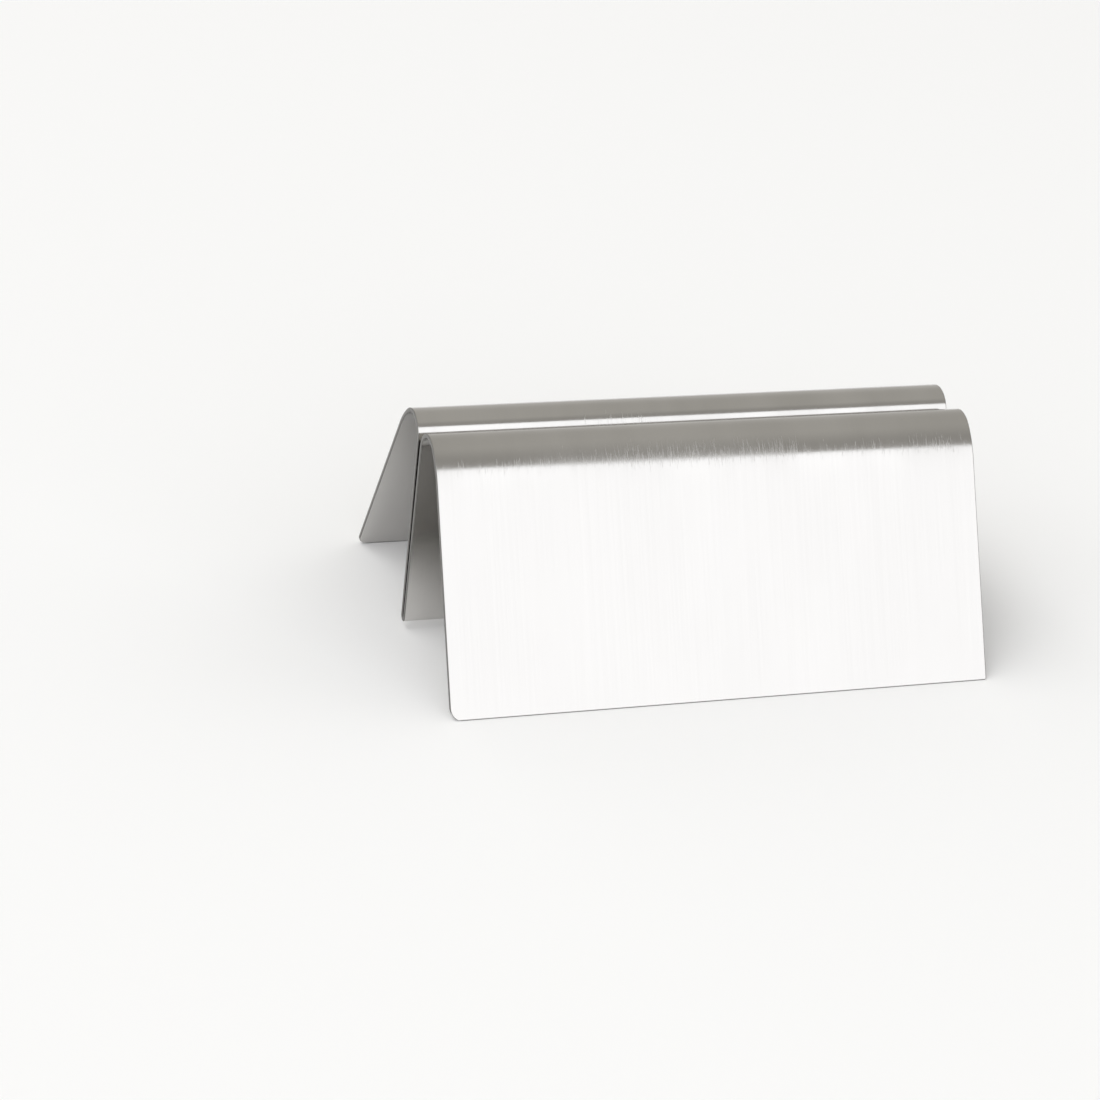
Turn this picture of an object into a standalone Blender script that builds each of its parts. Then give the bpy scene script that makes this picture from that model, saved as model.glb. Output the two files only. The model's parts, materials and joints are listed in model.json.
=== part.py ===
"""Menu holder: one strip of stainless sheet folded to an M section.

Two tents stand back to back. Their inner walls, the jaws, close on a card and meet in a tight fold at
the foot of the slot. Their outer walls, the legs, slope down to the table. The sheet is springy, so the
slot opens about the fold and each leg gives about the ridge that it hangs from. Every panel and bend of
the strip is an object of its own, parted from the next by a narrow seam.

Units are metres. X runs along the ridges, the front is at -Y, and the feet stand on Z = 0.
"""

import math

import bmesh
import bpy
from mathutils import Vector

# Overall sizes
STRIP_LENGTH = 0.0700
OVERALL_HEIGHT = 0.0283
FOOT_SPREAD = 0.0444
SHEET = 0.0005

# Ridge bend, as outside radii: up from the slot, over the crown, and a wide one that eases into the leg
RIDGE_SLOT_RADIUS = 0.0030
RIDGE_CROWN_RADIUS = 0.0036
RIDGE_CROWN_TURN = math.radians(38.0)
RIDGE_EASE_RADIUS = 0.0110

# Card slot and the fold below it
SLOT_MOUTH = 0.0009
SLOT_FOOT = 0.0004
FOLD_CLEARANCE = 0.0010

# Lower corners of the legs
LEFT_CORNER_RADIUS = 0.0015
RIGHT_CORNER_RADIUS = 0.0003

# Seam between neighbouring panels, and metal dressed off the feet
SEAM_GAP = 0.0003
FOOT_DRESSING = 0.00002

# Facets of the bends, shading, welding and the size that pivots are drawn at
FACET_ANGLE = math.radians(4.0)
SHARP_ANGLE = math.radians(30.0)
WELD_DISTANCE = 0.00001
PIVOT_MARK = 0.0020

# Brushed stainless steel
STEEL_COLOUR = (0.60, 0.59, 0.57, 1.0)
STEEL_ROUGHNESS = 0.32

FRONT = -1
REAR = 1
SIDE_NAMES = {FRONT: "front", REAR: "rear"}

# Half section, with Y counted outwards from the middle of the slot
HALF_SEAM = SEAM_GAP / 2
FOLD_INSIDE = SLOT_FOOT / 2
FOLD_MIDDLE = FOLD_INSIDE + SHEET / 2
FOLD_AXIS = Vector((0, FOLD_CLEARANCE + SHEET + FOLD_INSIDE))
SLOT_BEND_HEIGHT = OVERALL_HEIGHT - RIDGE_SLOT_RADIUS
MOUTH_EDGE = Vector((SLOT_MOUTH / 2, SLOT_BEND_HEIGHT)) - FOLD_AXIS
JAW_LEAN = math.atan2(*MOUTH_EDGE) - math.asin(FOLD_INSIDE / MOUTH_EDGE.length)
RIDGE_REACH = SLOT_MOUTH / 2 + RIDGE_SLOT_RADIUS / math.cos(JAW_LEAN)
SLOT_BEND_AXIS = Vector((RIDGE_REACH, SLOT_BEND_HEIGHT))
CROWN_AXIS = Vector((RIDGE_REACH, OVERALL_HEIGHT - RIDGE_CROWN_RADIUS))
CROWN_END = math.pi / 2 - RIDGE_CROWN_TURN
EASE_SHIFT = RIDGE_CROWN_RADIUS - RIDGE_EASE_RADIUS
EASE_AXIS = CROWN_AXIS + Vector((math.cos(CROWN_END), math.sin(CROWN_END))) * EASE_SHIFT
SLOT_BEND_MIDDLE = RIDGE_SLOT_RADIUS - SHEET / 2
CROWN_MIDDLE = RIDGE_CROWN_RADIUS - SHEET / 2
EASE_MIDDLE = RIDGE_EASE_RADIUS - SHEET / 2

# The leg is the tangent from the foot's outer edge to the outside of the ridge
FOOT_REACH = Vector((FOOT_SPREAD / 2, 0)) - EASE_AXIS
LEG_LEAN = math.atan2(FOOT_REACH.y, FOOT_REACH.x) + math.acos(RIDGE_EASE_RADIUS / FOOT_REACH.length)
LEG_LENGTH = math.sqrt(FOOT_REACH.length_squared - RIDGE_EASE_RADIUS**2)

# The jaw is the crossing tangent between the inside of the fold and the outside of the ridge
JAW_SPAN = SLOT_BEND_AXIS - FOLD_AXIS
JAW_LENGTH = math.sqrt(JAW_SPAN.length_squared - (FOLD_INSIDE + RIDGE_SLOT_RADIUS) ** 2)


def clear_scene():
    """Remove every object that the scene starts with."""
    for thing in list(bpy.data.objects):
        bpy.data.objects.remove(thing, do_unlink=True)


def new_collection(name):
    """Add a collection to the scene."""
    made = bpy.data.collections.new(name)
    bpy.context.scene.collection.children.link(made)
    return made


def brushed_steel(name):
    """A stainless finish with the photographed colour and gloss."""
    steel = bpy.data.materials.new(name)
    steel.use_nodes = True
    shader = steel.node_tree.nodes["Principled BSDF"]
    shader.inputs["Base Color"].default_value = STEEL_COLOUR
    shader.inputs["Metallic"].default_value = 1.0
    shader.inputs["Roughness"].default_value = STEEL_ROUGHNESS
    return steel


def polar(angle, radius):
    """The point at an angle and distance from a bend's axis."""
    return Vector((math.cos(angle), math.sin(angle))) * radius


def arc(axis, radius, start, stop):
    """Points along an arc of the half section, in facets no wider than FACET_ANGLE."""
    steps = max(1, math.ceil(abs(stop - start) / FACET_ANGLE))
    return [axis + polar(start + (stop - start) * i / steps, radius) for i in range(steps + 1)]


def ridge_line():
    """Middle of the sheet over a ridge: up from the jaw, over the crown and easing into the leg."""
    from_jaw = math.pi - JAW_LEAN - HALF_SEAM / SLOT_BEND_MIDDLE
    to_leg = LEG_LEAN + HALF_SEAM / EASE_MIDDLE
    up = arc(SLOT_BEND_AXIS, SLOT_BEND_MIDDLE, from_jaw, math.pi / 2)
    over = arc(CROWN_AXIS, CROWN_MIDDLE, math.pi / 2, CROWN_END)
    down = arc(EASE_AXIS, EASE_MIDDLE, CROWN_END, to_leg)
    return up + over[1:] + down[1:]


def fold_line():
    """Middle of the sheet round the fold under the slot, from the front jaw to the rear jaw."""
    end = JAW_LEAN + HALF_SEAM / FOLD_MIDDLE
    return arc(FOLD_AXIS, FOLD_MIDDLE, -math.pi + end, -end)


def bend_centre(line):
    """Centroid of a bend's line, about which it turns when it flexes evenly."""
    spans = [(b - a).length for a, b in zip(line, line[1:])]
    middles = [(a + b) / 2 for a, b in zip(line, line[1:])]
    weighted = sum((m * s for m, s in zip(middles, spans)), Vector((0, 0)))
    return weighted / sum(spans)


def corner_arc(x_side, radius, bottom):
    """Points round a lower corner of a leg, from its side edge to its foot for the side at -X."""
    centre = Vector((x_side * (STRIP_LENGTH / 2 - radius), bottom + radius))
    steps = math.ceil(math.pi / 2 / FACET_ANGLE)
    turns = [math.pi / 2 * i / steps for i in range(steps + 1)]
    return [centre + Vector((x_side * math.cos(a), -math.sin(a))) * radius for a in turns]


def leg_outline():
    """A leg seen square on, with its upper edge at the ridge and its two lower corners rounded."""
    half = STRIP_LENGTH / 2
    bottom = -LEG_LENGTH - FOOT_DRESSING
    left = corner_arc(-1, LEFT_CORNER_RADIUS, bottom)
    right = corner_arc(1, RIGHT_CORNER_RADIUS, bottom)
    return [Vector((-half, -HALF_SEAM)), *left, *reversed(right), Vector((half, -HALF_SEAM))]


def jaw_outline():
    """A jaw seen square on, with its lower edge at the fold."""
    half = STRIP_LENGTH / 2
    low = HALF_SEAM
    high = JAW_LENGTH - HALF_SEAM
    return [Vector((-half, low)), Vector((half, low)), Vector((half, high)), Vector((-half, high))]


def curve_mesh(name, points, depth, closed):
    """Mesh of a flat outline, or of an open line, drawn out by a depth across its plane."""
    curve = bpy.data.curves.new(name, "CURVE")
    curve.dimensions = "2D"
    curve.fill_mode = "BOTH" if closed else "NONE"
    curve.extrude = depth / 2
    spline = curve.splines.new("POLY")
    spline.points.add(len(points) - 1)
    spline.use_cyclic_u = closed
    for knot, point in zip(spline.points, points):
        knot.co = (point.x, point.y, 0, 1)
    drawn = bpy.data.objects.new(name, curve)
    bpy.context.scene.collection.objects.link(drawn)
    graph = bpy.context.evaluated_depsgraph_get()
    mesh = bpy.data.meshes.new_from_object(drawn.evaluated_get(graph))
    bpy.data.objects.remove(drawn, do_unlink=True)
    shape = bmesh.new()
    shape.from_mesh(mesh)
    bmesh.ops.remove_doubles(shape, verts=shape.verts, dist=WELD_DISTANCE)
    shape.to_mesh(mesh)
    shape.free()
    mesh.name = name
    return mesh


def place(name, mesh, collection, parent, location, rotation):
    """Put a steel panel on its parent."""
    mesh.shade_smooth()
    mesh.set_sharp_from_angle(angle=SHARP_ANGLE)
    mesh.materials.append(brushed_steel(f"{name}_steel"))
    panel = bpy.data.objects.new(name, mesh)
    panel.parent = parent
    panel.location = location
    panel.rotation_euler = rotation
    collection.objects.link(panel)
    return panel


def place_pivot(name, collection, parent, location):
    """An empty on the line that a bend flexes about."""
    pivot = bpy.data.objects.new(name, None)
    pivot.empty_display_size = PIVOT_MARK
    pivot.parent = parent
    pivot.location = location
    collection.objects.link(pivot)
    return pivot


def place_bend(name, line, collection, parent):
    """A bent stretch of the strip: its middle line drawn out along X and given the sheet's thickness."""
    mesh = curve_mesh(name, line, STRIP_LENGTH, closed=False)
    bend = place(name, mesh, collection, parent, (0, 0, 0), (math.pi / 2, 0, math.pi / 2))
    wall = bend.modifiers.new("sheet", "SOLIDIFY")
    wall.thickness = SHEET
    wall.offset = 0
    wall.use_even_offset = True
    return bend


def seen_from(line, origin, side):
    """A line of the half section on one side of the slot, counted from an origin on that side."""
    return [Vector((side * (point.x - origin.x), point.y - origin.y)) for point in line]


def place_jaw(side, collection, parent):
    """The wall of the slot on one side, leaning back from the fold."""
    name = f"{SIDE_NAMES[side]}_jaw"
    mesh = curve_mesh(name, jaw_outline(), SHEET, closed=True)
    foot = polar(-JAW_LEAN, FOLD_MIDDLE)
    turn = math.pi / 2 - side * JAW_LEAN
    return place(name, mesh, collection, parent, (0, side * foot.x, foot.y), (turn, 0, 0))


def place_leg(side, collection, parent, pivot, table):
    """The sloping outer wall on one side, with its foot dressed level with the table."""
    name = f"{SIDE_NAMES[side]}_leg"
    mesh = curve_mesh(name, leg_outline(), SHEET, closed=True)
    top = EASE_AXIS + polar(LEG_LEAN, EASE_MIDDLE) - pivot
    turn = math.pi / 2 + side * LEG_LEAN
    leg = place(name, mesh, collection, parent, (0, side * top.x, top.y), (turn, 0, 0))
    dressing = leg.modifiers.new("level_foot", "BOOLEAN")
    dressing.operation = "DIFFERENCE"
    dressing.solver = "EXACT"
    dressing.object = table
    return leg


def table_cutter(collection):
    """A block whose top is the table, wider than the holder on every side."""
    bpy.ops.mesh.primitive_cube_add(size=1)
    block = bpy.context.active_object
    block.name = "table_cutter"
    block.dimensions = (STRIP_LENGTH * 2, FOOT_SPREAD * 2, OVERALL_HEIGHT)
    block.location.z = -OVERALL_HEIGHT / 2
    block.hide_render = True
    block.display_type = "WIRE"
    for home in block.users_collection:
        home.objects.unlink(block)
    collection.objects.link(block)
    return block


def build():
    """Model the whole holder."""
    clear_scene()
    holder = new_collection("menu_holder")
    table = table_cutter(new_collection("cutters"))
    fold = place_pivot("fold_axis", holder, None, (0, *FOLD_AXIS))
    place_bend("base_fold", seen_from(fold_line(), FOLD_AXIS, REAR), holder, fold)
    flex = bend_centre(ridge_line())
    for side, name in SIDE_NAMES.items():
        slot = place_pivot(f"{name}_slot_pivot", holder, fold, (0, 0, 0))
        place_jaw(side, holder, slot)
        place_bend(f"{name}_ridge", seen_from(ridge_line(), FOLD_AXIS, side), holder, slot)
        reach = flex - FOLD_AXIS
        pivot = place_pivot(f"{name}_leg_pivot", holder, slot, (0, side * reach.x, reach.y))
        place_leg(side, holder, pivot, flex, table)
    print(f"legs lean {math.degrees(LEG_LEAN):.2f} deg and jaws {math.degrees(JAW_LEAN):.2f} deg")
    print(f"fold axis {FOLD_AXIS.y:.6f} m above the table")
    print(f"leg pivots {flex.x:.6f} m from the middle and {flex.y:.6f} m up")


build()
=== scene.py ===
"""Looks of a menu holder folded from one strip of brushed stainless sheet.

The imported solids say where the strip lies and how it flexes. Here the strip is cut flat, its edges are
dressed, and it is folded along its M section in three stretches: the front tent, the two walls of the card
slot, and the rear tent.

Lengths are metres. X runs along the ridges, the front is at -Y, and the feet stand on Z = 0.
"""

import json
import logging
import math
from dataclasses import dataclass
from enum import Enum

import bpy
from mathutils import Matrix, Vector


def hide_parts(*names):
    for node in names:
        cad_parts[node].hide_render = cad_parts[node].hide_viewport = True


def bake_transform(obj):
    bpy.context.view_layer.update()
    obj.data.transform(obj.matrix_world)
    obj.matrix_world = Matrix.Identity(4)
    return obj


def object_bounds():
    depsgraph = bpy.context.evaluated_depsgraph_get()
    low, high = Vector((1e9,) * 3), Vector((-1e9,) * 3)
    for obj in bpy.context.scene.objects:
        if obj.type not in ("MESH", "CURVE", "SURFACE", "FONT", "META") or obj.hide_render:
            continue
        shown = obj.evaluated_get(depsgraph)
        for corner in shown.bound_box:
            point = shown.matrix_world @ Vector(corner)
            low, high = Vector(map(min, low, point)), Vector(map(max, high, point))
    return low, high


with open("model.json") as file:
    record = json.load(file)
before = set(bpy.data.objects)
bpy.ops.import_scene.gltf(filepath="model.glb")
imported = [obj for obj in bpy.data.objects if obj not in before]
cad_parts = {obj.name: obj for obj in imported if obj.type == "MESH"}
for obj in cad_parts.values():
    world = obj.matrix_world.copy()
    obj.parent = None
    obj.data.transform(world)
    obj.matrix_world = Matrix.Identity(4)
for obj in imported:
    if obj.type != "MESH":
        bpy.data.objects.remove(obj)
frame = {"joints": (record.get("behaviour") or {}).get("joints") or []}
CAD_BOX: tuple[Vector, Vector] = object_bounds()

STRIP_PLACE = "strip_place"
BEND_RADIUS = "bend_radius"
NOISE_MIDDLE = 0.5

Colour = tuple[float, float, float]
log = logging.getLogger("menu_holder")


class Side(Enum):
    """Which side of the card slot a piece is on, as the sign of its Y."""

    FRONT = -1
    REAR = 1


class Value:
    """An output socket that Python expressions can use, each operator adding a Math node."""

    def __init__(self, sheet: "NodeSheet", socket: bpy.types.NodeSocket) -> None:
        """Wrap a socket of a node on a sheet."""
        self.sheet = sheet
        self.socket = socket

    def math(self, operation: str, *others: "Value | float") -> "Value":
        """Add a Math node with this value first.

        Args:
            operation: The Math node's operation.
            others: The values or numbers for its further sockets.

        Returns:
            The node's result.
        """
        sockets = dict(enumerate((self, *others)))
        return self.sheet.add("ShaderNodeMath", {"operation": operation}, sockets)

    def after(self, operation: str, first: float) -> "Value":
        """Add a Math node with a number first and this value second."""
        return self.sheet.add("ShaderNodeMath", {"operation": operation}, {0: first, 1: self})

    def __add__(self, other: "Value | float") -> "Value":
        """Sum."""
        return self.math("ADD", other)

    def __radd__(self, other: float) -> "Value":
        """Sum with a number first."""
        return self.after("ADD", other)

    def __sub__(self, other: "Value | float") -> "Value":
        """Difference."""
        return self.math("SUBTRACT", other)

    def __rsub__(self, other: float) -> "Value":
        """Difference from a number."""
        return self.after("SUBTRACT", other)

    def __mul__(self, other: "Value | float") -> "Value":
        """Product."""
        return self.math("MULTIPLY", other)

    def __rmul__(self, other: float) -> "Value":
        """Product with a number first."""
        return self.after("MULTIPLY", other)

    def __truediv__(self, other: "Value | float") -> "Value":
        """Quotient."""
        return self.math("DIVIDE", other)

    def __pow__(self, other: "Value | float") -> "Value":
        """Power."""
        return self.math("POWER", other)

    def __gt__(self, other: "Value | float") -> "Value":
        """One where this value is the greater, else zero."""
        return self.math("GREATER_THAN", other)

    def __lt__(self, other: "Value | float") -> "Value":
        """One where this value is the less, else zero."""
        return self.math("LESS_THAN", other)

    def __abs__(self) -> "Value":
        """Size without sign."""
        return self.math("ABSOLUTE")

    def at_least(self, other: "Value | float") -> "Value":
        """The greater of two values."""
        return self.math("MAXIMUM", other)

    def at_most(self, other: "Value | float") -> "Value":
        """The less of two values."""
        return self.math("MINIMUM", other)

    def ease(self, low: float, high: float) -> "Value":
        """Rise smoothly from 0 at one value to 1 at another.

        Args:
            low: The value at which the result is 0.
            high: The value at which the result is 1, which may be below low.

        Returns:
            The eased share.
        """
        sockets = {"Value": self, "From Min": low, "From Max": high}
        return self.sheet.add("ShaderNodeMapRange", {"interpolation_type": "SMOOTHSTEP"}, sockets)


class NodeSheet:
    """A node tree that is written one node at a time."""

    def __init__(self, tree: bpy.types.NodeTree) -> None:
        """Start on a tree."""
        self.tree = tree

    @staticmethod
    def pick(sockets: bpy.types.bpy_prop_collection, key: str | int) -> bpy.types.NodeSocket:
        """Find a node's socket by its number, or by name among those that its settings leave in use.

        Args:
            sockets: The node's inputs or outputs.
            key: The socket's number, name or identifier.

        Returns:
            The socket.
        """
        if isinstance(key, int):
            return sockets[key]
        return next(s for s in sockets if s.enabled and key in (s.name, s.identifier))

    def add(
        self,
        kind: str,
        settings: dict[str, object] | None = None,
        sockets: dict[str | int, object] | None = None,
        output: str | int = 0,
    ) -> Value:
        """Add a node, with its settings made before its sockets are filled.

        Args:
            kind: The node's type.
            settings: Properties of the node.
            sockets: Values or links for its inputs, by name or number.
            output: Which of its outputs to return.

        Returns:
            The chosen output.
        """
        node = self.tree.nodes.new(kind)
        for name, setting in (settings or {}).items():
            setattr(node, name, setting)
        for key, filling in (sockets or {}).items():
            socket = self.pick(node.inputs, key)
            if isinstance(filling, Value):
                self.tree.links.new(filling.socket, socket)
            else:
                socket.default_value = filling
        return Value(self, self.pick(node.outputs, output) if node.outputs else None)

    def also(self, first: Value, output: str | int) -> Value:
        """Return another output of the node that a value comes from."""
        return Value(self, self.pick(first.socket.node.outputs, output))

    def split(self, vector: Value) -> tuple[Value, Value, Value]:
        """Take a vector apart into its three numbers."""
        x = self.add("ShaderNodeSeparateXYZ", None, {"Vector": vector}, "X")
        return x, self.also(x, "Y"), self.also(x, "Z")

    def join(self, x: Value | float, y: Value | float, z: Value | float) -> Value:
        """Make a vector of three numbers."""
        return self.add("ShaderNodeCombineXYZ", None, {"X": x, "Y": y, "Z": z})

    def vector(self, operation: str, first: Value, *others: object) -> Value:
        """Add a Vector Math node."""
        sockets = dict(enumerate((first, *others)))
        return self.add("ShaderNodeVectorMath", {"operation": operation}, sockets)

    def scaled(self, vector: Value, factor: Value | float) -> Value:
        """Multiply a vector by a number."""
        return self.add("ShaderNodeVectorMath", {"operation": "SCALE"}, {0: vector, "Scale": factor})

    def mixed(self, share: Value | float, first: object, second: object) -> Value:
        """Mix two colours.

        Args:
            share: How much of the second colour there is.
            first: A colour, or a value that gives one.
            second: The other.

        Returns:
            The mixed colour.
        """
        sockets = {"Factor_Float": share, "A_Color": first, "B_Color": second}
        return self.add("ShaderNodeMix", {"data_type": "RGBA"}, sockets, "Result_Color")


def opaque(colour: Colour) -> tuple[float, float, float, float]:
    """Give a colour its alpha."""
    return (*colour, 1.0)


def polar(angle: float, radius: float) -> Vector:
    """Give the point of the section at an angle and distance from a bend's axis."""
    return Vector((math.cos(angle), math.sin(angle))) * radius


@dataclass(frozen=True)
class Bend:
    """A corner of the section's line and the radius that it is bent to, at the middle of the sheet."""

    corner: Vector
    radius: float = 0.0

    def on(self, side: Side) -> "Bend":
        """Give the same bend on one side of the slot."""
        return Bend(Vector((side.value * self.corner.x, self.corner.y)), self.radius)


@dataclass(frozen=True)
class StripSection:
    """Half of the M section, its first coordinate counted outwards from the middle of the slot.

    A ridge bends up from the slot, over its crown and on a wide radius into the leg. Its radii are
    outside ones. seam_drop is how far below a ridge the stretches meet.
    """

    length: float
    height: float
    spread: float
    fold_height: float
    sheet: float = 0.0005
    ridge_slot_radius: float = 0.0030
    ridge_crown_radius: float = 0.0036
    ridge_crown_turn: float = math.radians(38.0)
    ridge_ease_radius: float = 0.0110
    slot_mouth: float = 0.0009
    slot_foot: float = 0.0004
    seam_drop: float = 0.0010

    @classmethod
    def from_frame(cls) -> "StripSection":
        """Read the overall sizes and the fold's axis from the frame.

        Returns:
            The section with those sizes.
        """
        size = CAD_BOX[1] - CAD_BOX[0]
        fold = next(joint for joint in frame["joints"] if joint["name"] == "slot_flex")
        return cls(size.x, size.z, size.y, fold["pos_m"][2])

    @property
    def fold_axis(self) -> Vector:
        """Axis of the tight fold under the slot."""
        return Vector((0.0, self.fold_height))

    @property
    def fold_middle(self) -> float:
        """Radius of that fold at the middle of the sheet."""
        return (self.slot_foot + self.sheet) / 2

    @property
    def slot_bend_middle(self) -> float:
        """Radius of the ridge's slot side at the middle of the sheet."""
        return self.ridge_slot_radius - self.sheet / 2

    @property
    def crown_middle(self) -> float:
        """Radius of the ridge's crown at the middle of the sheet."""
        return self.ridge_crown_radius - self.sheet / 2

    @property
    def ease_middle(self) -> float:
        """Radius of the bend into the leg at the middle of the sheet."""
        return self.ridge_ease_radius - self.sheet / 2

    @property
    def ease_turn(self) -> float:
        """Angle that the bend into the leg turns through."""
        return math.pi / 2 - self.ridge_crown_turn - self.leg_lean

    @property
    def jaw_lean(self) -> float:
        """Angle that a wall of the slot leans back by."""
        mouth = Vector((self.slot_mouth / 2, self.height - self.ridge_slot_radius)) - self.fold_axis
        return math.atan2(*mouth) - math.asin(self.slot_foot / 2 / mouth.length)

    @property
    def ridge_reach(self) -> float:
        """Distance of a ridge's crest from the middle of the slot."""
        return self.slot_mouth / 2 + self.ridge_slot_radius / math.cos(self.jaw_lean)

    @property
    def ease_axis(self) -> Vector:
        """Axis of the bend into the leg."""
        crown_axis = Vector((self.ridge_reach, self.height - self.ridge_crown_radius))
        shift = self.ridge_crown_radius - self.ridge_ease_radius
        return crown_axis + polar(math.pi / 2 - self.ridge_crown_turn, shift)

    @property
    def leg_lean(self) -> float:
        """Angle that a leg leans from upright."""
        reach = Vector((self.spread / 2, 0.0)) - self.ease_axis
        return math.atan2(reach.y, reach.x) + math.acos(self.ridge_ease_radius / reach.length)

    @property
    def jaw_foot(self) -> Vector:
        """Where a wall of the slot leaves the fold, at the middle of the sheet."""
        return self.fold_axis + polar(-self.jaw_lean, self.fold_middle)

    @property
    def leg_top(self) -> Vector:
        """Where a leg leaves its ridge, at the middle of the sheet."""
        return self.ease_axis + polar(self.leg_lean, self.ease_middle)

    @property
    def jaw_length(self) -> float:
        """Flat length of a wall of the slot."""
        span = Vector((self.ridge_reach, self.height - self.ridge_slot_radius)) - self.fold_axis
        return math.sqrt(span.length_squared - (self.slot_foot / 2 + self.ridge_slot_radius) ** 2)

    @property
    def leg_length(self) -> float:
        """Flat length of a leg at the middle of the sheet."""
        return self.leg_top.y / math.cos(self.leg_lean)

    @property
    def half_slot(self) -> float:
        """Length of strip from the middle of the fold to where a tent starts."""
        return self.fold_middle * (math.pi / 2 - self.jaw_lean) + self.jaw_length - self.seam_drop

    @property
    def half_strip(self) -> float:
        """Length of strip from the middle of the fold to a foot."""
        up = self.slot_bend_middle * (math.pi / 2 - self.jaw_lean)
        over = self.crown_middle * self.ridge_crown_turn
        down = self.ease_middle * self.ease_turn
        return self.half_slot + self.seam_drop + up + over + down + self.leg_length

    def on_jaw(self, along: float) -> Vector:
        """Give the point at a distance up a wall of the slot from the fold."""
        return self.jaw_foot + Vector((math.sin(self.jaw_lean), math.cos(self.jaw_lean))) * along

    def on_leg(self, along: float) -> Vector:
        """Give the point at a distance down a leg from its ridge."""
        return self.leg_top + Vector((math.sin(self.leg_lean), -math.cos(self.leg_lean))) * along

    def jaw_at(self, level: float) -> Vector:
        """Give the point at a height on a wall's line, run on past its ends."""
        return self.on_jaw((level - self.jaw_foot.y) / math.cos(self.jaw_lean))

    def up_ridge(self, along: Value) -> Value:
        """Say how far up its ridge from the leg each place along the strip is."""
        return self.half_strip - self.leg_length - abs(along)

    def tent_bends(self, overrun: float) -> list[Bend]:
        """List the corners of a tent's line from the seam over the ridge to past the foot.

        Args:
            overrun: How far the line runs on past the foot.

        Returns:
            The corners, with the ridge as three bends that run into each other.
        """
        crest = self.height - self.sheet / 2
        crown = self.crown_middle * math.tan(self.ridge_crown_turn / 2)
        ease = self.ease_middle * math.tan(self.ease_turn / 2)
        over = Vector((self.ridge_reach + crown, crest))
        return [
            Bend(self.on_jaw(self.jaw_length - self.seam_drop)),
            Bend(self.jaw_at(crest), self.slot_bend_middle),
            Bend(over, self.crown_middle),
            Bend(over + polar(-self.ridge_crown_turn, crown + ease), self.ease_middle),
            Bend(self.on_leg(self.leg_length + overrun)),
        ]

    def slot_bends(self) -> list[Bend]:
        """List the corners of the slot's line from one seam down round the fold, on one side."""
        return [
            Bend(self.on_jaw(self.jaw_length - self.seam_drop)),
            Bend(self.jaw_at(self.fold_height - self.fold_middle), self.fold_middle),
        ]


@dataclass(frozen=True)
class RubbedPatch:
    """A soft-edged patch of a ridge that handling has rubbed.

    middle is along the ridge and up is the way up its curve from the leg, each with its own half width.
    share is how hard the patch is rubbed, and core how much of each half width is rubbed that hard.
    """

    side: Side
    middle: float
    reach: float
    up: float
    spread: float
    share: float
    core: float = 0.3

    def mask(self, across: Value, along: Value, section: StripSection) -> Value:
        """Mask the patch.

        Args:
            across: Place across the strip, which is along the ridge.
            along: Place along the strip from the middle of its fold.
            section: The strip that the patch is on.

        Returns:
            The patch's share at its core, fading to nothing at its edges.
        """
        sideways = abs(across - self.middle).ease(self.reach, self.reach * self.core)
        upwards = abs(section.up_ridge(along) - self.up).ease(self.spread, self.spread * self.core)
        return sideways * upwards * ((along * self.side.value) > 0.0) * self.share


@dataclass(frozen=True)
class Grain:
    """Noise drawn out along the strip, with its pitch across the brush lines and its length along them.

    detail is how many octaves of finer lines it has. depth is its pitch through the sheet, so small that
    the two faces differ.
    """

    pitch: float
    length: float
    detail: float
    depth: float = 0.00010

    def noise(self, sheet: NodeSheet, point: Value) -> Value:
        """Add the noise.

        Args:
            sheet: The material's nodes.
            point: The place on the strip, as across, through and along.

        Returns:
            The noise, around NOISE_MIDDLE.
        """
        stretch = (1.0 / self.pitch, 1.0 / self.depth, 1.0 / self.length)
        stretched = sheet.vector("MULTIPLY", point, stretch)
        sockets = {"Vector": stretched, "Scale": 1.0, "Detail": self.detail}
        return sheet.add("ShaderNodeTexNoise", None, sockets)


@dataclass(frozen=True)
class FinishLayers:
    """What the finish is made of at each place of the sheet.

    hair and drag are the fine and the broad brush lines, cloud is a slow unevenness around 0 and marks are
    those of handling. The others are masks of the ridges, the hazed patch, the inner face and the edges.
    """

    hair: Value
    drag: Value
    cloud: Value
    marks: Value
    ridge: Value
    hazed: Value
    inner: Value
    edge: Value


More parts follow.
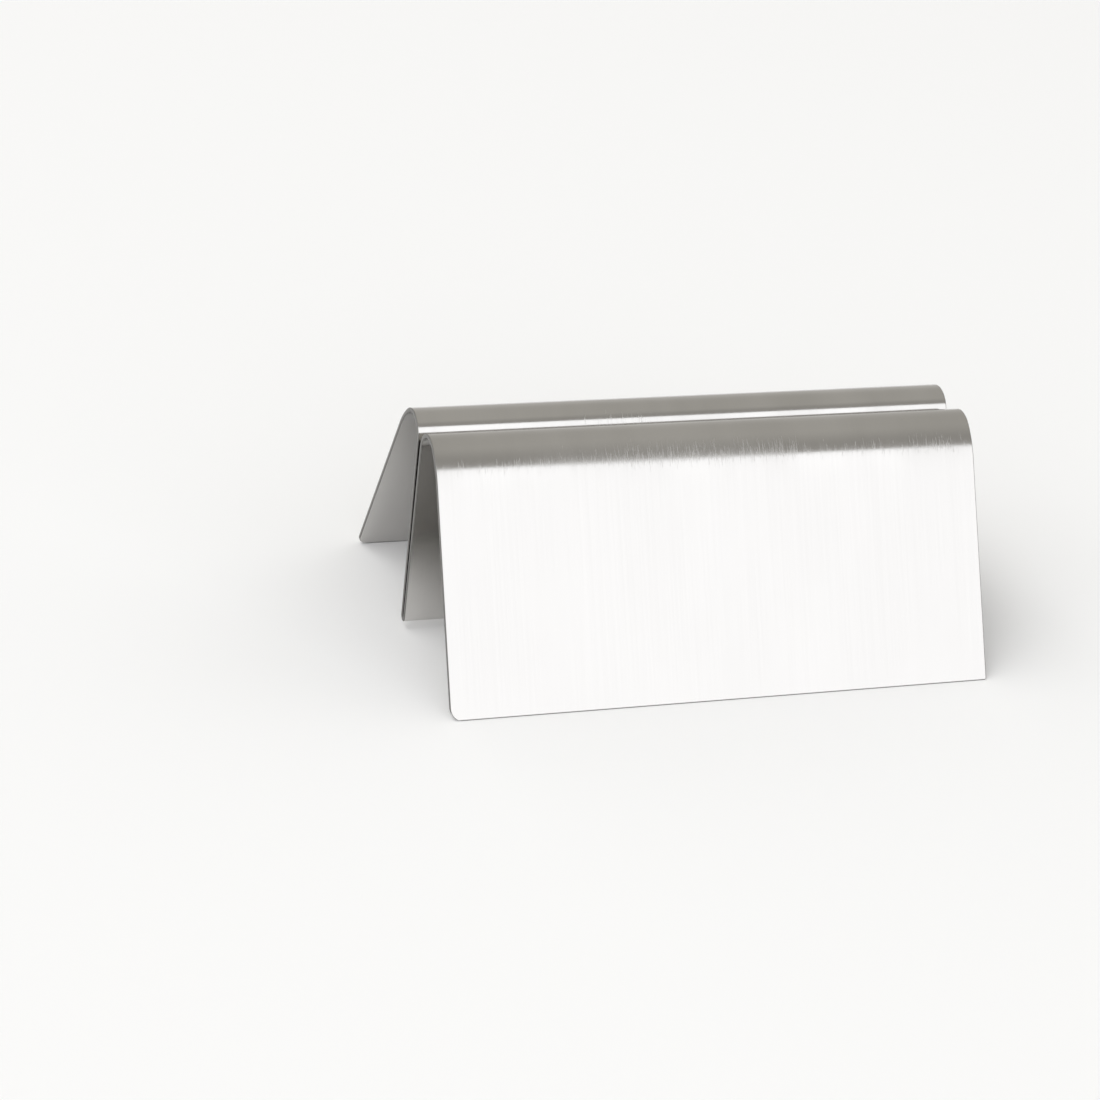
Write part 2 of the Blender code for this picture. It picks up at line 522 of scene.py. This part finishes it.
@dataclass(frozen=True)
class BrushedStainless:
    """Satin stainless sheet, brushed along the strip on its outer face, with dull sheared edges whose dark
    tint also paints in the shade that lines the edges and the feet.

    The worn values say how much of worn_tint each layer brings, the roughness values how much it roughens
    the sheet, and the relief values how high it stands. Clouds are stronger on the ridges, which begin over
    ridge_start. spared_share is how far the marks of handling are thinned out away from the rubbed patches,
    and hazed is the duller middle of the front ridge.
    """

    tint: Colour = (0.652, 0.640, 0.622)
    worn_tint: Colour = (0.565, 0.553, 0.535)
    # painted shade: the edge tint is darker than sheared steel, painting in the dark line that the rounded
    # edges and the contact shadow give
    edge_tint_with_shade: Colour = (0.170, 0.166, 0.159)
    worn_level: float = 0.27
    worn_marks: float = 0.30
    worn_hair: float = 0.06
    worn_clouds: float = 0.08
    worn_ridge_clouds: float = 0.54
    roughness: float = 0.145
    roughness_hair: float = 0.040
    roughness_rubbed: float = 0.150
    roughness_clouds: float = 0.020
    roughness_hazed: float = 0.060
    roughness_inner: float = 0.010
    roughness_edge: float = 0.200
    hair_grain: Grain = Grain(0.00010, 0.0240, 2.0)
    hair_levels: tuple[float, float] = (0.30, 0.70)
    drag_grain: Grain = Grain(0.00045, 0.0400, 1.0)
    cloud_grain: Grain = Grain(0.0075, 0.0150, 2.0)
    cloud_levels: tuple[float, float] = (0.30, 0.70)
    ridge_start: tuple[float, float] = (-0.0020, 0.0020)
    streak_grain: Grain = Grain(0.00008, 0.0015, 1.0)
    streak_levels: tuple[float, float] = (0.51, 0.70)
    spared_share: float = 0.24
    hair_relief: float = 0.0000012
    drag_relief: float = 0.000004
    mark_relief: float = 0.0000019
    inner_relief_loss: float = 0.6
    edge_start: float = 0.00012
    edge_end: float = 0.00005
    # painted shade: the feet's band is wider than the sides' so that the dark tint paints in the contact
    # shadow along the foot
    foot_start: float = 0.00018
    foot_end: float = 0.00009
    rubbed: tuple[RubbedPatch, ...] = (
        RubbedPatch(Side.FRONT, 0.0000, 0.0270, 0.0022, 0.0026, 0.96),
        RubbedPatch(Side.FRONT, 0.0300, 0.0080, 0.0020, 0.0022, 0.80),
        RubbedPatch(Side.FRONT, 0.0000, 0.0900, 0.0019, 0.0019, 0.68),
        RubbedPatch(Side.REAR, -0.0095, 0.0085, 0.0096, 0.0024, 1.00),
    )
    hazed: RubbedPatch = RubbedPatch(Side.FRONT, -0.0075, 0.0220, 0.0038, 0.0029, 1.00, 0.5)

    def edges(self, across: Value, along: Value, section: StripSection) -> Value:
        """Mask the sheared edges, which are the strip's sides and its feet; in the colour this band carries
        painted shade as well as the dull edge.

        Args:
            across: Place across the strip.
            along: Place along the strip from the middle of its fold.
            section: The strip.

        Returns:
            One on the edges, easing to nothing on the faces beside them.
        """
        side, foot = section.length / 2, section.half_strip
        sides = abs(across).ease(side - self.edge_start, side - self.edge_end)
        feet = abs(along).ease(foot - self.foot_start, foot - self.foot_end)
        return sides.at_least(feet)

    def handling(self, across: Value, along: Value, section: StripSection) -> Value:
        """Put the rubbed patches together.

        Args:
            across: Place across the strip.
            along: Place along the strip from the middle of its fold.
            section: The strip.

        Returns:
            How hard each place is rubbed, by the patch that is rubbed hardest there.
        """
        rubbed, *others = (patch.mask(across, along, section) for patch in self.rubbed)
        for mask in others:
            rubbed = rubbed.at_least(mask)
        return rubbed

    def layers(self, sheet: NodeSheet, section: StripSection) -> FinishLayers:
        """Lay out what the finish is made of.

        Args:
            sheet: The material's nodes.
            section: The strip that it is on.

        Returns:
            The layers.
        """
        place = sheet.add("ShaderNodeAttribute", {"attribute_name": STRIP_PLACE}, None, "Vector")
        across, through, along = sheet.split(place)
        lengthwise, _, _ = sheet.split(sheet.add("ShaderNodeTexCoord", None, None, "Object"))
        point = sheet.join(lengthwise, through, along)
        streak = self.streak_grain.noise(sheet, point)
        spared = (1.0 - self.handling(across, along, section)) * self.spared_share
        return FinishLayers(
            hair=self.hair_grain.noise(sheet, point).ease(*self.hair_levels),
            drag=self.drag_grain.noise(sheet, point),
            cloud=self.cloud_grain.noise(sheet, point).ease(*self.cloud_levels) - NOISE_MIDDLE,
            marks=(streak - spared).ease(*self.streak_levels),
            ridge=section.up_ridge(along).ease(*self.ridge_start),
            hazed=self.hazed.mask(across, along, section),
            inner=through < 0.0,
            edge=self.edges(across, along, section),
        )

    def colour(self, sheet: NodeSheet, layers: FinishLayers) -> Value:
        """Tint the sheet, darker where it is worn and darkest on its edges, where the dull sheared edge and
        painted shade along the edge lines share one dark tint.

        Args:
            sheet: The material's nodes.
            layers: What the finish is made of.

        Returns:
            The colour.
        """
        clouds = self.worn_clouds + layers.ridge * (self.worn_ridge_clouds - self.worn_clouds)
        worn = self.worn_level + layers.marks * self.worn_marks + layers.hair * self.worn_hair
        worn = worn + layers.cloud * clouds
        colour = sheet.mixed(worn, opaque(self.tint), opaque(self.worn_tint))
        # painted shade: the dark edge tint stands for the dull sheared edge and for the shade along the
        # edges
        return sheet.mixed(layers.edge, colour, opaque(self.edge_tint_with_shade))

    def dullness(self, layers: FinishLayers) -> Value:
        """Roughen the sheet by its lines, marks, faces and edges.

        Args:
            layers: What the finish is made of.

        Returns:
            The roughness.
        """
        rough = self.roughness + (layers.hair - NOISE_MIDDLE) * self.roughness_hair
        rough = rough + layers.cloud * self.roughness_clouds
        rough = rough + layers.marks * self.roughness_rubbed + layers.hazed * self.roughness_hazed
        return rough + layers.inner * self.roughness_inner + layers.edge * self.roughness_edge

    def relief(self, layers: FinishLayers) -> Value:
        """Raise the brush lines and the marks, less on the inner face.

        Args:
            layers: What the finish is made of.

        Returns:
            The height in metres.
        """
        height = layers.hair * self.hair_relief + layers.drag * self.drag_relief
        height = height + layers.marks * self.mark_relief
        return height * (1.0 - layers.inner * self.inner_relief_loss)

    def material(self, section: StripSection) -> bpy.types.Material:
        """Build the finish.

        Args:
            section: The strip that it is on.

        Returns:
            The material.
        """
        steel = bpy.data.materials.new("brushed_stainless_sheet")
        steel.use_nodes = True
        sheet = NodeSheet(steel.node_tree)
        layers = self.layers(sheet, section)
        varying = {
            "Base Color": self.colour(sheet, layers),
            "Roughness": self.dullness(layers),
            "Normal": sheet.add("ShaderNodeBump", None, {"Distance": 1.0, "Height": self.relief(layers)}),
        }
        shader = steel.node_tree.nodes["Principled BSDF"]
        shader.inputs["Metallic"].default_value = 1.0
        for name, value in varying.items():
            steel.node_tree.links.new(value.socket, shader.inputs[name])
        return steel


class StripFolder:
    """Geometry Nodes tree that cuts a flat blank of sheet, dresses its edges and folds it along a line.

    In the blank, X is across the strip, Y is through the sheet and Z is along the strip. The line that it
    is folded along is the object's own edges, each corner with its bend radius.

    STEPS is how many rings of points the blank has, and CROWDING how strongly they gather at its crowd
    place. RIM_POINTS is how many points round off one corner of a ring, RIM_SUPPORT how far from them the
    next point on the flat lies, and BEND_POINTS how many points a bend of the line gets.
    """

    INPUTS: tuple[str, ...] = (
        "Strip length",
        "Sheet",
        "Edge radius",
        "End radius",
        "Left corner",
        "Right corner",
        "Foot slope",
        "Foot reach",
        "Overrun",
        "Crowd place",
        "Face side",
        "Strip start",
        "Strip heading",
    )
    STEPS = 420
    CROWDING = 1.5
    RIM_CORNERS = 4
    RIM_POINTS = 6
    RIM_SUPPORT = 0.00004
    BEND_POINTS = 64
    QUAD_CORNERS = 4

    def __init__(self) -> None:
        """Build the tree."""
        self.tree = bpy.data.node_groups.new("folded_strip", "GeometryNodeTree")
        face = self.tree.interface
        face.new_socket("Section", in_out="INPUT", socket_type="NodeSocketGeometry")
        for name in self.INPUTS:
            face.new_socket(name, in_out="INPUT", socket_type="NodeSocketFloat")
        face.new_socket("Finish", in_out="INPUT", socket_type="NodeSocketMaterial")
        face.new_socket("Strip", in_out="OUTPUT", socket_type="NodeSocketGeometry")
        self.sheet = NodeSheet(self.tree)
        self.first = self.sheet.add("NodeGroupInput")
        self.lay_out()

    def given(self, name: str) -> Value:
        """Return one of the tree's inputs."""
        return self.sheet.also(self.first, name)

    def rim(self) -> Value:
        """Draw the cross-section of the sheet, a thin rectangle with rounded edges.

        Each corner has RIM_POINTS on its arc, and a point on the flat to either side that keeps the
        shading of the flat from leaning into the arc.

        Returns:
            A closed curve in the XY plane.
        """
        sheet = self.sheet
        each = self.RIM_POINTS + 2
        points = {"Resolution": self.RIM_CORNERS * each}
        circle = sheet.add("GeometryNodeCurvePrimitiveCircle", None, points)
        index = sheet.add("GeometryNodeInputIndex")
        corner = (index / each).math("FLOOR")
        step = index - corner * each
        turn = ((step - 1.0) / (self.RIM_POINTS - 1)).at_least(0.0).at_most(1.0)
        angle = (corner + turn) * (math.pi / 2)
        middle = (corner + 0.5) * (math.pi / 2)
        radius = self.given("Edge radius")
        beside = ((step > self.RIM_POINTS + 0.5) - (step < 0.5)) * self.RIM_SUPPORT
        across = middle.math("COSINE").math("SIGN") * (self.given("Strip length") / 2.0 - radius)
        through = middle.math("SINE").math("SIGN") * (self.given("Sheet") / 2.0 - radius)
        x = across + radius * angle.math("COSINE") - beside * angle.math("SINE")
        y = through + radius * angle.math("SINE") + beside * angle.math("COSINE")
        placed = {"Geometry": circle, "Position": sheet.join(x, y, 0.0)}
        return sheet.add("GeometryNodeSetPosition", None, placed)

    def spine(self, length: Value) -> Value:
        """Draw the blank's middle line, with its steps crowded where the shape is finest.

        Args:
            length: Length of the blank.

        Returns:
            An open curve along Z.
        """
        sheet = self.sheet
        line = sheet.add("GeometryNodeCurvePrimitiveLine")
        line = sheet.add("GeometryNodeResampleCurve", None, {"Curve": line, "Count": self.STEPS})
        centre = self.given("Crowd place")
        apart = sheet.add("GeometryNodeSplineParameter", None, None, "Factor") - centre
        widest = centre.at_least(1.0 - centre)
        eased = apart.math("SIGN") * abs(apart) ** self.CROWDING * widest ** (1.0 - self.CROWDING)
        place = sheet.join(0.0, 0.0, (centre + eased) * length)
        return sheet.add("GeometryNodeSetPosition", None, {"Geometry": line, "Position": place})

    @staticmethod
    def rounded(radius: Value, left: Value) -> Value:
        """Say how far a quarter-round corner has drawn in at a distance from its end.

        Args:
            radius: Radius of the corner.
            left: Distance that is left to the end.

        Returns:
            The draw-in, which is the radius at the end itself.
        """
        past = (radius - left).at_least(0.0)
        return radius - (radius * radius - past * past).at_least(0.0).math("SQRT")

    def lay_out(self) -> None:
        """Lay out the whole tree, from section line to finished strip.

        The blank's two end caps have many corners, some of them in line, so they are cut into sound
        triangles before it is folded.
        """
        sheet = self.sheet
        radius = sheet.add("GeometryNodeInputNamedAttribute", {"data_type": "FLOAT"}, {"Name": BEND_RADIUS})
        line = sheet.add("GeometryNodeMeshToCurve", None, {"Mesh": self.given("Section")})
        bends = {"Curve": line, "Count": self.BEND_POINTS, "Radius": radius, "Limit Radius": False}
        line = sheet.add("GeometryNodeFilletCurve", {"mode": "POLY"}, bends)
        length = sheet.add("GeometryNodeCurveLength", None, {"Curve": line}) - self.given("Overrun")
        parts = {"Curve": self.spine(length), "Profile Curve": self.rim(), "Fill Caps": True}
        blank = sheet.add("GeometryNodeCurveToMesh", None, parts)
        corners = sheet.add("GeometryNodeInputMeshFaceNeighbors", None, None, "Vertex Count")
        caps = {"Mesh": blank, "Selection": corners > self.QUAD_CORNERS}
        blank = sheet.add("GeometryNodeTriangulate", {"ngon_method": "BEAUTY"}, caps)
        flat = sheet.add("GeometryNodeInputPosition")
        across, through, along = sheet.split(flat)
        side = self.given("Face side")
        on_strip = self.given("Strip start") + self.given("Strip heading") * along
        place = sheet.join(across * side, through, on_strip)
        named = {"Geometry": blank, "Name": STRIP_PLACE, "Value": place}
        strip = sheet.add("GeometryNodeStoreNamedAttribute", {"data_type": "FLOAT_VECTOR"}, named)
        folded = self.folded(line, length, across, through, along)
        strip = sheet.add("GeometryNodeSetPosition", None, {"Geometry": strip, "Position": folded})
        strip = sheet.add("GeometryNodeRealizeInstances", None, {"Geometry": strip})
        dressed = {"Geometry": strip, "Material": self.given("Finish")}
        strip = sheet.add("GeometryNodeSetMaterial", None, dressed)
        sheet.add("NodeGroupOutput", None, {"Strip": strip})

    def folded(self, line: Value, length: Value, across: Value, through: Value, along: Value) -> Value:
        """Dress the end of the blank and fold it.

        Args:
            line: The section's line.
            length: Length of the blank.
            across: Place across the strip.
            through: Place through the sheet.
            along: Place along the strip.

        Returns:
            Where each point of the blank ends up.
        """
        sheet = self.sheet
        left = length - along
        is_right = across > 0.0
        corner = self.given("Left corner") * (1.0 - is_right) + self.given("Right corner") * is_right
        half_length = self.given("Strip length") / 2.0
        half_sheet = self.given("Sheet") / 2.0
        across = across * (1.0 - self.rounded(corner, left) / half_length)
        through = through * (1.0 - self.rounded(self.given("End radius"), left) / half_sheet)
        near = (1.0 - left / self.given("Foot reach")).at_least(0.0)
        along = along + through * self.given("Foot slope") * near
        sampled = {"Curves": line, "Length": along}
        point = sheet.add("GeometryNodeSampleCurve", {"mode": "LENGTH"}, sampled, "Position")
        tangent = sheet.also(point, "Tangent")
        axis = sheet.join(self.given("Face side"), 0.0, 0.0)
        face = sheet.vector("CROSS_PRODUCT", tangent, axis)
        offset = sheet.vector("ADD", sheet.scaled(axis, across), sheet.scaled(face, through))
        return sheet.vector("ADD", point, offset)

    def modify(self, guide: bpy.types.Object, sizes: dict[str, float], steel: bpy.types.Material) -> None:
        """Put the tree on an object and fill in its inputs.

        Args:
            guide: The object whose edges are the section's line.
            sizes: A number for each of INPUTS.
            steel: The finish.
        """
        modifier = guide.modifiers.new("folded_strip", "NODES")
        modifier.node_group = self.tree
        inputs = [item for item in self.tree.interface.items_tree if item.in_out == "INPUT"]
        sockets = {item.name: item.identifier for item in inputs}
        for name, size in sizes.items():
            modifier[sockets[name]] = size
        modifier[sockets["Finish"]] = steel


@dataclass(frozen=True)
class FoldedStretch:
    """A stretch of the strip: what the front tent, the slot and the rear tent have in common."""

    section: StripSection
    edge_radius: float = 0.00008
    foot_reach: float = 0.0030
    sharp_angle: float = math.radians(40.0)

    @property
    def name(self) -> str:
        """Name of the piece."""
        raise NotImplementedError

    def bends(self) -> list[Bend]:
        """List the corners of the line that it is folded along."""
        raise NotImplementedError

    def sizes(self) -> dict[str, float]:
        """Give the sizes that every blank is cut and folded to, with the others at nothing."""
        return dict.fromkeys(StripFolder.INPUTS, 0.0) | {
            "Strip length": self.section.length,
            "Sheet": self.section.sheet,
            "Edge radius": self.edge_radius,
            "Foot reach": self.foot_reach,
        }

    def attach(self, piece: bpy.types.Object) -> None:
        """Fix the piece in place and hide the imported parts that it stands for."""
        raise NotImplementedError

    def guide(self) -> bpy.types.Object:
        """Draw the line that it is folded along.

        Returns:
            An object whose edges are the line, with each corner's radius as an attribute.
        """
        bends = self.bends()
        points = [(0.0, bend.corner.x, bend.corner.y) for bend in bends]
        edges = [(i, i + 1) for i in range(len(points) - 1)]
        mesh = bpy.data.meshes.new(f"{self.name}_line")
        mesh.from_pydata(points, edges, [])
        radii = mesh.attributes.new(BEND_RADIUS, "FLOAT", "POINT")
        radii.data.foreach_set("value", [bend.radius for bend in bends])
        guide = bpy.data.objects.new(f"{self.name}_line", mesh)
        bpy.context.scene.collection.objects.link(guide)
        return guide

    def build(self, folder: StripFolder, steel: bpy.types.Material) -> bpy.types.Object:
        """Cut, fold and dress the stretch, and hide the imported parts that it stands for.

        Args:
            folder: The tree that folds it.
            steel: The finish.

        Returns:
            The finished piece.
        """
        guide = self.guide()
        folder.modify(guide, self.sizes(), steel)
        graph = bpy.context.evaluated_depsgraph_get()
        mesh = bpy.data.meshes.new_from_object(guide.evaluated_get(graph))
        mesh.name = self.name
        bpy.data.objects.remove(guide, do_unlink=True)
        mesh.shade_smooth()
        mesh.set_sharp_from_angle(angle=self.sharp_angle)
        piece = bpy.data.objects.new(self.name, mesh)
        bpy.context.scene.collection.objects.link(piece)
        self.attach(piece)
        return piece


@dataclass(frozen=True)
class Tent(FoldedStretch):
    """A ridge and the leg that hangs from it, with the leg's lower corners rounded and its foot level."""

    side: Side = Side.FRONT
    left_corner: float = 0.0015
    right_corner: float = 0.0003
    overrun: float = 0.0010
    flex_start: float = 0.0014
    flex_end: float = 0.0083

    @property
    def name(self) -> str:
        """Name of the piece."""
        return f"{self.side.name.lower()}_tent"

    def bends(self) -> list[Bend]:
        """List the corners from the seam in the slot over the ridge to past the foot."""
        return [bend.on(self.side) for bend in self.section.tent_bends(self.overrun)]

    def sizes(self) -> dict[str, float]:
        """Give the sizes of a blank whose far end is a foot."""
        left, right = (self.left_corner, self.right_corner)[:: -self.side.value]
        return super().sizes() | {
            "End radius": self.edge_radius,
            "Left corner": left,
            "Right corner": right,
            "Foot slope": math.tan(self.section.leg_lean),
            "Overrun": self.overrun,
            "Crowd place": 1.0,
            "Face side": -self.side.value,
            "Strip start": self.section.half_slot * self.side.value,
            "Strip heading": self.side.value,
        }

    def attach(self, piece: bpy.types.Object) -> None:
        """Fix the piece in place and hide the ridge and leg that it stands for.

        Args:
            piece: The finished tent.
        """
        which = self.side.name.lower()
        level = self.section.height
        start = (0.0, self.side.value * self.flex_start, level)
        end = (0.0, self.side.value * self.flex_end, level)
        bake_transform(piece)
        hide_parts(f"{which}_ridge", f"{which}_leg")


@dataclass(frozen=True)
class CardSlot(FoldedStretch):
    """The two walls that close on a card and the tight fold that joins them below."""

    @property
    def name(self) -> str:
        """Name of the piece."""
        return "card_slot"

    def bends(self) -> list[Bend]:
        """List the corners from the front seam down round the fold and up to the rear seam."""
        half = self.section.slot_bends()
        return [b.on(Side.FRONT) for b in half] + [b.on(Side.REAR) for b in reversed(half)]

    def sizes(self) -> dict[str, float]:
        """Give the sizes of a blank whose two ends run on into the tents."""
        return super().sizes() | {
            "Crowd place": 0.5,
            "Face side": -1.0,
            "Strip start": -self.section.half_slot,
            "Strip heading": 1.0,
        }

    def attach(self, piece: bpy.types.Object) -> None:
        """Fix the piece in place and hide the jaws and fold that it stands for.

        Args:
            piece: The finished slot.
        """
        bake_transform(piece)
        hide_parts("rear_jaw", "base_fold", "front_jaw")


@dataclass(frozen=True)
class SoftBox:
    """A studio lamp aimed at the middle of the holder.

    Bearing is counted from the front (-Y) towards +X, and rise above the horizon, both in degrees.
    Brightness is the radiance that its face adds to what is behind it, where 1 is white.
    """

    name: str
    bearing: float
    rise: float
    distance: float
    width: float
    height: float
    brightness: float
    tint: Colour = (1.0, 1.0, 1.0)

    def build(self, target: Vector) -> None:
        """Make the lamp.

        Args:
            target: The point that it faces.
        """
        lamp = bpy.data.lights.new(self.name, "AREA")
        lamp.shape = "RECTANGLE"
        lamp.size = self.width
        lamp.size_y = self.height
        lamp.energy = self.brightness * math.pi * self.width * self.height
        lamp.color = self.tint
        turn, lift = math.radians(self.bearing), math.radians(self.rise)
        level = math.cos(lift)
        outward = Vector((math.sin(turn) * level, -math.cos(turn) * level, math.sin(lift)))
        box = bpy.data.objects.new(self.name, lamp)
        box.location = target + outward * self.distance
        box.rotation_euler = outward.to_track_quat("Z", "Y").to_euler()
        box.visible_camera = False
        bpy.context.scene.collection.objects.link(box)


@dataclass(frozen=True)
class Studio:
    """Plain pale floor, walls that darken upwards to a grey ceiling, and three soft lamps.

    The walls are pale off both ends of the holder and darker above the front lamp. box_side and end_start
    say how far a direction points to the front or to an end where each of those begins and where it is full.
    """

    floor_size: float = 8.0
    floor_tint: Colour = (0.92, 0.92, 0.92)
    floor_roughness: float = 0.9
    floor_gloss: float = 0.0
    ceiling: Colour = (0.487, 0.475, 0.443)
    walls: Colour = (0.610, 0.600, 0.575)
    wall_top: float = math.radians(55.0)
    horizon: Colour = (0.80, 0.80, 0.80)
    horizon_top: float = math.radians(8.0)
    above_box: Colour = (0.370, 0.360, 0.338)
    box_side: tuple[float, float] = (0.20, 0.50)
    ends: Colour = (0.92, 0.92, 0.91)
    end_start: tuple[float, float] = (0.52, 0.80)
    boxes: tuple[SoftBox, ...] = (
        SoftBox("front_box", -16.0, 20.0, 3.0, 8.1, 4.26, 1.20, (0.98, 1.00, 1.05)),
        SoftBox("rear_box", -155.0, 25.0, 2.8, 1.8, 1.80, 0.55),
        SoftBox("key_box", -90.0, 65.0, 4.8, 6.4, 2.00, 2.00),
    )

    def floor(self) -> None:
        """Lay the floor."""
        paint = bpy.data.materials.new("pale_floor")
        paint.use_nodes = True
        shader = paint.node_tree.nodes["Principled BSDF"]
        shader.inputs["Base Color"].default_value = opaque(self.floor_tint)
        shader.inputs["Roughness"].default_value = self.floor_roughness
        shader.inputs["Specular IOR Level"].default_value = self.floor_gloss
        half = self.floor_size / 2
        mesh = bpy.data.meshes.new("floor")
        corners = [(-half, -half, 0.0), (half, -half, 0.0), (half, half, 0.0), (-half, half, 0.0)]
        mesh.from_pydata(corners, [], [range(len(corners))])
        mesh.materials.append(paint)
        floor = bpy.data.objects.new("floor", mesh)
        bpy.context.scene.collection.objects.link(floor)

    def sky(self) -> None:
        """Surround the floor with walls that darken from a pale horizon to a grey ceiling."""
        world = bpy.data.worlds.new("studio")
        world.use_nodes = True
        bpy.context.scene.world = world
        sheet = NodeSheet(world.node_tree)
        looking = sheet.add("ShaderNodeTexCoord", None, None, "Generated")
        right, back, up = sheet.split(looking)
        high = up.ease(0.0, math.sin(self.wall_top))
        low = up.ease(math.sin(self.horizon_top), 0.0)
        front = (0.0 - back).ease(*self.box_side)
        colour = sheet.mixed(high, opaque(self.walls), opaque(self.ceiling))
        colour = sheet.mixed(abs(right).ease(*self.end_start), colour, opaque(self.ends))
        colour = sheet.mixed(front, colour, opaque(self.above_box))
        colour = sheet.mixed(low, colour, opaque(self.horizon))
        background = world.node_tree.nodes["Background"]
        world.node_tree.links.new(colour.socket, background.inputs["Color"])

    def build(self, target: Vector) -> None:
        """Set up the whole studio.

        Args:
            target: The point that the lamps face.
        """
        self.floor()
        self.sky()
        for box in self.boxes:
            box.build(target)


@dataclass(frozen=True)
class PhotoCamera:
    """The camera, at the place and with the lens that the photographed outline was fitted with."""

    place: tuple[float, float, float] = (-0.135685, -0.310302, 0.188587)
    heading: float = math.radians(20.986)
    dip: float = math.radians(28.281)
    roll: float = math.radians(-6.821)
    lens: float = 99.348
    sensor: float = 36.0

    def build(self) -> None:
        """Make the camera and give it to the scene."""
        level = math.cos(self.dip)
        ahead = Vector((math.sin(self.heading) * level, math.cos(self.heading) * level, -math.sin(self.dip)))
        right = ahead.cross(Vector((0.0, 0.0, 1.0))).normalized()
        above = right.cross(ahead)
        tilt = Matrix.Rotation(self.roll, 3, ahead)
        axes = Matrix((tilt @ right, tilt @ above, -ahead)).transposed()
        data = bpy.data.cameras.new("photo_camera")
        data.lens = self.lens
        data.sensor_width = self.sensor
        camera = bpy.data.objects.new("photo_camera", data)
        camera.matrix_world = Matrix.Translation(self.place) @ axes.to_4x4()
        bpy.context.scene.collection.objects.link(camera)
        bpy.context.scene.camera = camera


def main() -> None:
    """Build the strip, the studio and the camera."""
    logging.basicConfig(level=logging.INFO, format="%(name)s: %(message)s")
    section = StripSection.from_frame()
    steel = BrushedStainless().material(section)
    folder = StripFolder()
    for stretch in (Tent(section), CardSlot(section), Tent(section, side=Side.REAR)):
        piece = stretch.build(folder, steel)
        log.info("%s: %d faces", piece.name, len(piece.data.polygons))
    Studio().build(Vector((0.0, 0.0, section.height / 2)))
    PhotoCamera().build()
    bpy.context.scene.view_settings.view_transform = "Standard"


if __name__ == "__main__":
    main()
